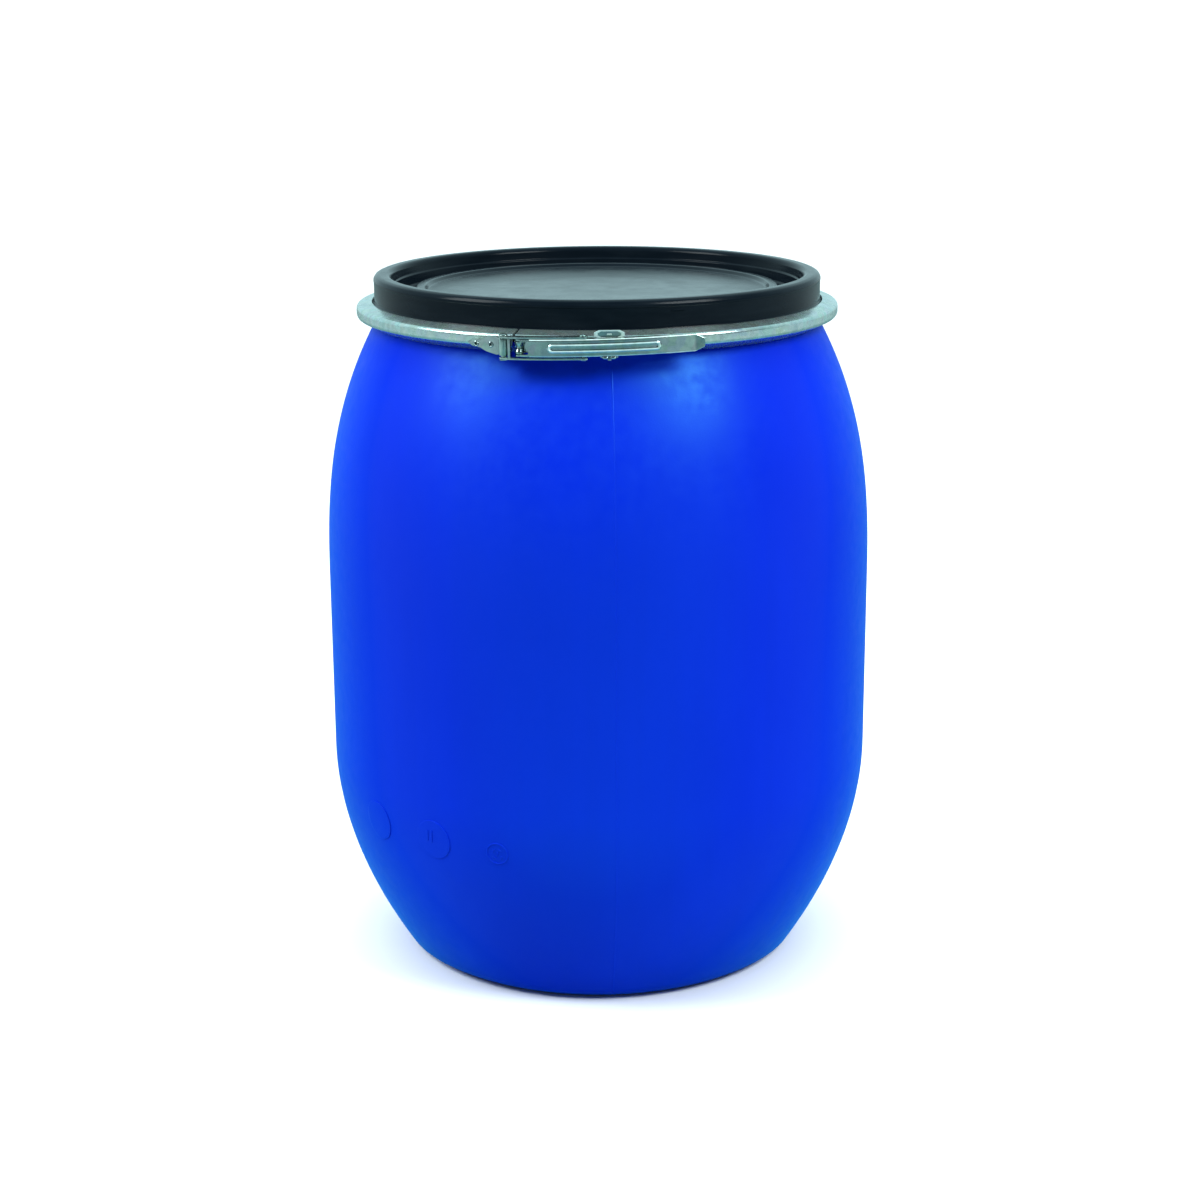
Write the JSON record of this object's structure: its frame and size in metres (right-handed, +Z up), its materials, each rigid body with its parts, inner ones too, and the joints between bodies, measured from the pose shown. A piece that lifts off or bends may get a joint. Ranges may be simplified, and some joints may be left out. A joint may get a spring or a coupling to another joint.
{
  "type": "plastic open head drum",
  "caption": "Squat barrel-shaped plastic drum with a loose recessed lid and seal, held by a steel clamp ring that a lever and link close.",
  "frame": {"origin": "centre of the foot, on the floor", "axes": "+Z up along the drum's axis; the clasp faces -Y; +X is to the right as the clasp is faced"},
  "size_m": [0.4, 0.4, 0.5058],
  "materials": {
    "drum_blue": "blow moulded blue HDPE, fine matt grain with soft highlights",
    "lid_black": "injection moulded black HDPE, low gloss",
    "seal_rubber": "foamed rubber seal",
    "ring_zinc": "galvanised steel, rolled, slightly green-grey"
  },
  "bodies": {
    "drum": {"drum_body": "drum_blue"},
    "lid": {"lid": "lid_black", "lid_gasket": "seal_rubber"},
    "ring_back": {"clamp_ring_back": "ring_zinc"},
    "ring_left_rear": {"clamp_ring_left_rear": "ring_zinc"},
    "ring_left_mid": {"clamp_ring_left_mid": "ring_zinc"},
    "ring_left_front": {"clamp_ring_left_front": "ring_zinc", "hinge_plate": "ring_zinc", "hinge_plate_rivet_1": "ring_zinc", "hinge_plate_rivet_2": "ring_zinc", "link_pin": "ring_zinc"},
    "ring_right_rear": {"clamp_ring_right_rear": "ring_zinc"},
    "ring_right_mid": {"clamp_ring_right_mid": "ring_zinc"},
    "ring_right_front": {"clamp_ring_right_front": "ring_zinc", "lever_bracket": "ring_zinc", "lever_bracket_rivet_1": "ring_zinc", "lever_bracket_rivet_2": "ring_zinc", "catch_plate": "ring_zinc", "catch_rivet": "ring_zinc"},
    "link": {"link": "ring_zinc", "link_stud_top": "ring_zinc", "link_stud_bottom": "ring_zinc"},
    "lever": {"lever": "ring_zinc", "lever_pin": "ring_zinc"}
  },
  "joints": [
    {"name": "lid_lift", "type": "slide", "parent": "drum", "child": "lid", "axis": [0, 0, 1], "range_m": [0, 0.2]},
    {"name": "ring_lift", "type": "slide", "parent": "drum", "child": "ring_back", "axis": [0, 0, 1], "range_m": [0, 0.32]},
    {"name": "ring_flex_left_rear", "type": "hinge", "parent": "ring_back", "child": "ring_left_rear", "pos_m": [-0.03473, 0.1707, 0.4772], "axis": [0, 0, -1], "range_deg": [0, 2.76]},
    {"name": "ring_flex_left_mid", "type": "hinge", "parent": "ring_left_rear", "child": "ring_left_mid", "pos_m": [-0.15309, 0.08312, 0.4772], "axis": [0, 0, -1], "range_deg": [0, 2.76]},
    {"name": "ring_flex_left_front", "type": "hinge", "parent": "ring_left_mid", "child": "ring_left_front", "pos_m": [-0.16208, -0.06384, 0.4772], "axis": [0, 0, -1], "range_deg": [0, 2.76]},
    {"name": "ring_flex_right_rear", "type": "hinge", "parent": "ring_back", "child": "ring_right_rear", "pos_m": [0.13047, 0.11543, 0.4772], "axis": [0, 0, 1], "range_deg": [0, 2.76]},
    {"name": "ring_flex_right_mid", "type": "hinge", "parent": "ring_right_rear", "child": "ring_right_mid", "pos_m": [0.17229, -0.02575, 0.4772], "axis": [0, 0, 1], "range_deg": [0, 2.76]},
    {"name": "ring_flex_right_front", "type": "hinge", "parent": "ring_right_mid", "child": "ring_right_front", "pos_m": [0.09102, -0.14853, 0.4772], "axis": [0, 0, 1], "range_deg": [0, 2.76]},
    {"name": "lever_swing", "type": "hinge", "parent": "ring_right_front", "child": "lever", "pos_m": [-0.05106, -0.1702, 0.4772], "axis": [0, 0, -1], "range_deg": [0, 146]},
    {"name": "link_swing", "type": "hinge", "parent": "ring_left_front", "child": "link", "pos_m": [-0.06171, -0.16664, 0.4772], "axis": [0, 0, -1], "range_deg": [0, 33.5]}
  ],
  "couplings": [
    {"joint": "ring_flex_left_rear", "follows": "lever_swing", "ratio": 0.018854},
    {"joint": "ring_flex_left_mid", "follows": "lever_swing", "ratio": 0.018854},
    {"joint": "ring_flex_left_front", "follows": "lever_swing", "ratio": 0.018854},
    {"joint": "ring_flex_right_rear", "follows": "lever_swing", "ratio": 0.018854},
    {"joint": "ring_flex_right_mid", "follows": "lever_swing", "ratio": 0.018854},
    {"joint": "ring_flex_right_front", "follows": "lever_swing", "ratio": 0.018854},
    {"joint": "link_swing", "follows": "lever_swing", "ratio": 0.22925}
  ]
}
